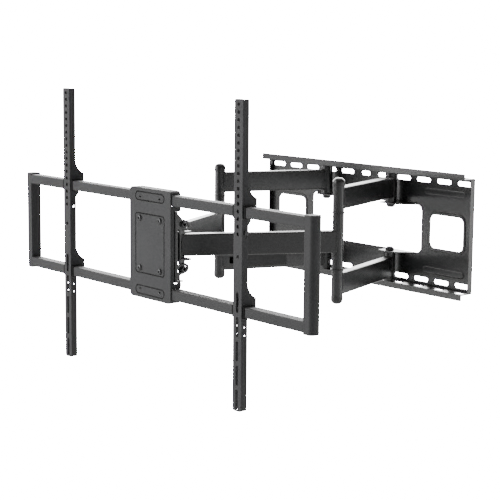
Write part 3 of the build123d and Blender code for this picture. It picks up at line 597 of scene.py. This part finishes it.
def arm_welds(form, hub, far, level, hub_radius, far_radius, phase):
    """The upright welds of one arm tube: on both sides, at the sleeve on each of its ends."""
    line = (far - hub).normalized()
    across = Vector((-line.y, line.x, 0.0))
    reach = arm_half_height - weld_end_gap
    for end, radius, way in ((hub, hub_radius, 1), (far, far_radius, -1)):
        seat = math.sqrt(radius ** 2 - arm_half_width ** 2)
        for side in (-1, 1):
            spot = end + line * way * seat + across * side * arm_half_width
            weld_bead(form, (spot.x, spot.y, level - reach), (spot.x, spot.y, level + reach),
                      phase + side)


for side_name, hinge, elbow in (("right", "fold", "elbow_right"), ("left", "fold_left", "elbow_left")):
    weld_form = bmesh.new()
    for level in (-arm_level, arm_level):
        arm_welds(weld_form, pivot[hinge], pivot[elbow], level, wall_sleeve_radius, elbow_sleeve_radius,
                  level * 40.0)
    make_piece(f"rear_arm_welds_{side_name}", weld_form, satin_coat, f"rear_arms_{side_name}",
               60.0)

# ---- Elbows -------------------------------------------------------------------------------
# A ground steel pin runs through three sleeves at each elbow, in plastic bushes whose wide
# rims show as two rings. A domed plastic cap is pressed over each end.
def moulded(name, dark, light, rough, shine, grain, relief):
    """A moulded plastic: spark-eroded grain, slight flow clouds, and edges polished by hands."""
    material, tree, shader = new_material(name)
    peel = place_group(tree, orange_peel, Lumps_per_Metre=grain, Clouds_per_Metre=30.0)
    edges = place_group(tree, rubbed_edges, Reach=0.0008, Amount=0.35, Breaks_per_Metre=120.0)
    dust = place_group(tree, settled_dust, Amount=0.08)
    resin = mix_colour(tree, peel.outputs["Cloud"], dark, light)
    resin = mix_colour(tree, edges.outputs["Mask"], resin, handled_grey)
    resin = mix_colour(tree, dust.outputs["Mask"], resin, dust_grey)
    tree.links.new(resin, shader.inputs["Base Color"])
    polish = maths(tree, "MULTIPLY_ADD", edges.outputs["Mask"], -0.2, rough)
    tree.links.new(maths(tree, "MULTIPLY_ADD", peel.outputs["Speckle"], 0.10, polish),
                   shader.inputs["Roughness"])
    tree.links.new(bump(tree, peel.outputs["Height"], 0.6, relief), shader.inputs["Normal"])
    shader.inputs["IOR"].default_value = shine
    return material


def ground_steel(name):
    """A ground steel pin: bright metal with fine lines round it."""
    material, tree, shader = new_material(name)
    stretch = tree.nodes.new("ShaderNodeMapping")
    stretch.inputs["Scale"].default_value = (0.04, 0.04, 1.0)
    tree.links.new(object_place(tree), stretch.inputs["Vector"])
    lines = noise(tree, stretch.outputs["Vector"], 5200.0, 3.0)
    tree.links.new(mix_colour(tree, lines, (0.40, 0.40, 0.41, 1.0), (0.58, 0.58, 0.59, 1.0)),
                   shader.inputs["Base Color"])
    tree.links.new(maths(tree, "MULTIPLY_ADD", lines, 0.2, 0.2), shader.inputs["Roughness"])
    tree.links.new(bump(tree, lines, 0.3, 0.00002), shader.inputs["Normal"])
    shader.inputs["Metallic"].default_value = 1.0
    return material


handled_grey = (0.09, 0.09, 0.09, 1.0)
cap_plastic = moulded("cap_plastic", (0.008, 0.008, 0.008, 1.0), (0.014, 0.014, 0.014, 1.0),
                      0.24, 1.5, 1600.0, 0.00003)
bush_plastic = moulded("bush_plastic", (0.020, 0.020, 0.021, 1.0), (0.030, 0.030, 0.031, 1.0),
                       0.45, 1.45, 900.0, 0.00004)
finish_nodes(both("elbow_sleeve"), satin_coat, 0.0006)
finish_nodes(both("elbow_cap_upper", "elbow_cap_lower"), cap_plastic, 0.0004)
finish_nodes(both("elbow_bushes", "wall_pivot_bushes"), bush_plastic, 0.0003)
finish_nodes(both("elbow_pin"), ground_steel("ground_steel"), 0.0004)
finish_nodes(both("elbow_pin_rings"), black_zinc, 0.0003)

# ---- Cable covers -------------------------------------------------------------------------
# A thin channel of black plastic is pegged to the inner side of each lower rear arm, where
# the screen's cables run behind it. Its face is grained and its edges are rounded.
cover_plastic = moulded("cover_plastic", (0.016, 0.016, 0.016, 1.0), (0.026, 0.026, 0.026, 1.0),
                        0.42, 1.45, 1200.0, 0.00005)
finish_nodes(both("rear_cable_cover"), cover_plastic, 0.0006)

# ---- Front arms ---------------------------------------------------------------------------
# Two longer arms of the same tube join the elbows to the head. Each is coped and welded to its
# elbow sleeve, and has a short knuckle with a plastic liner at the head.
finish_nodes(both("front_arm"), satin_coat, 0.0007)
finish_nodes(both("head_pivot_bush"), bush_plastic, 0.0003)
knuckle_radius = 0.012
head_reach = pivot["head_pivot"].x
for side_name, elbow, sign in (("right", "elbow_right", 1), ("left", "elbow_left", -1)):
    weld_form = bmesh.new()
    knuckle = Vector((sign * head_reach, pivot["head_pivot"].y, 0.0))
    arm_welds(weld_form, pivot[elbow], knuckle, 0.0, elbow_sleeve_radius, knuckle_radius, sign)
    make_piece(f"front_arm_welds_{side_name}", weld_form, satin_coat, f"front_arm_{side_name}",
               60.0)

# ---- Head bracket -------------------------------------------------------------------------
# A folded steel head takes both front arms on M12 bolts, and carries the four tilt bolts in
# its upright cheeks. Socket heads are on top and lock nuts below.
finish_nodes(["head_bracket"], satin_coat, 0.0006)
finish_nodes(["tilt_bolts", "tilt_washers"], black_zinc, 0.0003)
head_bolt_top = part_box("head_pivot_bolts")[1][2]
head_nut_low, head_nut_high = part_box("head_pivot_nuts")
head_bolt_radius = 0.006
head_bolt_head = 0.0085
head_bolt_height = 0.005
head_nut_across = 0.0145
head_key = 0.008
head_key_depth = 0.003
head_seat = head_bolt_top - head_bolt_height
nut_form = bmesh.new()
head_form = bmesh.new()
for sign in (-1, 1):
    spot = Vector((sign * head_reach, pivot["head_pivot"].y, head_nut_high[2]))
    nut_height = head_nut_high[2] - head_nut_low[2]
    lock_nut(nut_form, spot, (0, 0, -1), head_nut_across, nut_height, head_bolt_radius)
    shank = [(head_bolt_radius, 0.0), (head_bolt_radius, head_seat - head_nut_high[2])]
    turned(head_form, spot, (0, 0, 1), shank, 24)
    spot.z = head_seat
    socket_head(head_form, spot, (0, 0, 1), head_bolt_head, head_bolt_height, head_key, head_key_depth)
head_nuts = make_piece("head_lock_nuts", nut_form, black_zinc, "head")
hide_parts("head_pivot_nuts")
head_bolts = make_piece("head_socket_bolts", head_form, black_zinc, "head")
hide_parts("head_pivot_bolts")

# ---- Tilt bracket -------------------------------------------------------------------------
# A steel plate with a slotted lobe at each corner tilts on the four cheek bolts, which
# lock nuts clamp over washers. A small knurled screw under the right side levels the screen.
finish_nodes(["tilt_bracket", "level_screw_tab"], satin_coat, 0.0005)
tilt_low, tilt_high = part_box("tilt_nuts")
tilt_nut_across = 0.0115
tilt_nut_height = 0.004
tilt_bolt_radius = 0.004
tilt_bolt_y = (tilt_low[1] + tilt_high[1]) / 2
tilt_nut_reach = 0.0064
tilt_bolt_z = tilt_high[2] - tilt_nut_reach
nut_form = bmesh.new()
for side in (-1, 1):
    for level in (-1, 1):
        spot = (side * (tilt_high[0] - tilt_nut_height), tilt_bolt_y, level * tilt_bolt_z)
        lock_nut(nut_form, spot, (side, 0, 0), tilt_nut_across, tilt_nut_height, tilt_bolt_radius)
tilt_nuts = make_piece("tilt_lock_nuts", nut_form, black_zinc, "head")
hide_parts("tilt_nuts")

knob_low, knob_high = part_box("level_screw")
knob_radius = (knob_high[0] - knob_low[0]) / 2
knob_height = 0.011
knob_teeth = 24
knob_form = bmesh.new()
knob_foot = Vector(((knob_low[0] + knob_high[0]) / 2, (knob_low[1] + knob_high[1]) / 2, knob_low[2]))


def knurled(size):
    """A knurled rim: shallow teeth round a circle."""
    return lambda angle: size * (0.955 + 0.045 * math.cos(knob_teeth * angle))


turned(knob_form, knob_foot, (0, 0, 1),
       [(knob_radius * 0.84, 0.0), (knurled(knob_radius * 0.96), 0.0007), (knurled(knob_radius), 0.0014),
        (knurled(knob_radius), 0.0072), (knurled(knob_radius * 0.96), 0.0079), (knob_radius * 0.72, 0.0084),
        (knob_radius * 0.66, 0.0098), (knob_radius * 0.62, knob_height)], 4 * knob_teeth)
screw_crest = 0.0025
screw_root = 0.0022
screw_pitch = 0.00095
screw_rise = 0.00045
screw_run_out = 0.0004
screw_turns = 12
thread = [(screw_root, knob_height)]
for thread_turn in range(screw_turns):
    low = knob_height + screw_run_out + screw_pitch * thread_turn
    thread += [(screw_crest, low), (screw_root, low + screw_rise)]
turned(knob_form, knob_foot, (0, 0, 1), thread, 24)
level_knob = make_piece("level_knob", knob_form, cap_plastic, "tilt_bracket")
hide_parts("level_screw")

# ---- Screen frame -------------------------------------------------------------------------
# Two long rails of 26 x 22 mm tube are welded into rounded end posts. They are coated matt, so
# that the strips slide without showing marks.
matt_coat = powder_coat("matt_black_coat", (0.034, 0.034, 0.035, 1.0), (0.050, 0.050, 0.0515, 1.0),
                        (0.17, 0.17, 0.175, 1.0), 0.52, 1.25, 760.0, 0.00006)
finish_nodes(["upper_rail", "lower_rail"] + both("end_post"), matt_coat, 0.0009)
finish_nodes(["frame_core_plate"], satin_coat, 0.0005)
finish_nodes(["centre_spacers", "level_pivot_bolt"], black_zinc, 0.0003)
rail_weld_gap = 0.003
for side_name, sign in (("right", 1), ("left", -1)):
    weld_form = bmesh.new()
    for rail in ("upper_rail", "lower_rail"):
        rail_low, rail_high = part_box(rail)
        joint_x = sign * rail_high[0]
        for level in (rail_low[2], rail_high[2]):
            weld_start = (joint_x, rail_low[1] + rail_weld_gap, level)
            weld_stop = (joint_x, rail_high[1] - rail_weld_gap, level)
            weld_bead(weld_form, weld_start, weld_stop, level)
    make_piece(f"frame_welds_{side_name}", weld_form, matt_coat, "screen_frame", 60.0)

# ---- Centre plate -------------------------------------------------------------------------
# A pressed steel cover joins the two rails at the middle. Pressed lines frame its three
# panels; four socket-head bolts and four small rail screws hold it.
finish_nodes(["centre_plate"], matt_coat, 0.0008)
bolts_low, bolts_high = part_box("centre_bolts")
centre_head_radius = 0.0068
centre_head_height = 0.002
centre_head_dome = 0.0034
centre_key = 0.0048
centre_key_depth = 0.0018
head_form = bmesh.new()
for side in (-1, 1):
    for level in (-1, 1):
        spot = (side * (bolts_high[0] - centre_head_radius), bolts_low[1] + centre_head_height,
                level * (bolts_high[2] - centre_head_radius))
        socket_head(head_form, spot, (0, -1, 0), centre_head_radius, centre_head_dome, centre_key,
                    centre_key_depth)
centre_heads = make_piece("centre_bolt_heads", head_form, black_zinc, "screen_frame")
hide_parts("centre_bolts")
screws_low, screws_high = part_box("rail_screws")
rail_head_radius = 0.0038
rail_head_height = 0.0038
rail_key = 0.0046
rail_key_depth = 0.0032
head_form = bmesh.new()
for side in (-1, 1):
    for level in (-1, 1):
        spot = (side * (screws_high[0] - rail_head_radius), screws_low[1] + rail_head_height,
                level * (screws_high[2] - rail_head_radius))
        socket_head(head_form, spot, (0, -1, 0), rail_head_radius, rail_head_height, rail_key,
                    rail_key_depth)
rail_heads = make_piece("rail_screw_heads", head_form, black_zinc, "screen_frame")
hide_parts("rail_screws")

# ---- Screen strips ------------------------------------------------------------------------
# Two upright channels, punched with screw holes and slots, hang on the rails by hooked
# flanges. A black plastic liner in each hook keeps steel off steel, and a latch locks it. The
# liner's near-black ends reach past each strip onto the rail's face as painted shade, standing
# in for the strip's shadow on the rail.
finish_nodes(both("screen_strip"), matt_coat, 0.0006)
finish_nodes(both("strip_latch"), cover_plastic, 0.0005)
finish_nodes(both("latch_screw"), black_zinc, 0.0003)
# Painted shade: a near-black plastic, darker than the other plastics. Its ends on the rails stand in for
# the strips' shadows.
liner_and_shadow_plastic = moulded("liner_and_shadow_plastic", (0.003, 0.003, 0.003, 1.0), (0.007, 0.007, 0.007, 1.0),
                        0.65, 1.2, 900.0, 0.00006)
liner_wall = 0.0012
liner_gap = 0.0001
# How far the liner's painted-shade ends reach past the strip along the rail.
liner_shadow_reach = 0.0065
liner_drop = 0.006
liner_return = 0.012


def wrap(form, from_x, to_x, outline):
    """A strip of plastic, bent round a rail along an outline of inner and outer corners."""
    near = [form.verts.new((from_x, y, z)) for y, z in outline]
    far = [form.verts.new((to_x, y, z)) for y, z in outline]
    count = len(outline)
    for step in range(count):
        after = (step + 1) % count
        form.faces.new((near[step], near[after], far[after], far[step]))
    for step in range(count // 2 - 1):
        mate = count - 1 - step
        form.faces.new((near[step], near[step + 1], near[mate - 1], near[mate]))
        form.faces.new((far[mate], far[mate - 1], far[step + 1], far[step]))


def liner_outline(low, high, gap):
    """The path of a liner round a rail: down the back, over the top, down the front, under."""
    return [(high[1] + gap, high[2] - liner_drop), (high[1] + gap, high[2] + gap),
            (low[1] - gap, high[2] + gap), (low[1] - gap, low[2] - gap),
            (low[1] + liner_return, low[2] - gap)]


for side_name in ("right", "left"):
    strip_low, strip_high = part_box(f"screen_strip_{side_name}")
    liner_form = bmesh.new()
    for rail in ("upper_rail", "lower_rail"):
        rail_low, rail_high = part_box(rail)
        inner = liner_outline(rail_low, rail_high, liner_gap)
        outer = liner_outline(rail_low, rail_high, liner_wall)
        for from_x, to_x in ((strip_low[0] - liner_shadow_reach, strip_low[0] + liner_wall),
                             (strip_high[0] - liner_wall, strip_high[0] + liner_shadow_reach)):
            wrap(liner_form, from_x, to_x, inner + list(reversed(outer)))
    make_piece(f"rail_liners_and_shadows_{side_name}", liner_form, liner_and_shadow_plastic, f"screen_strip_{side_name}")
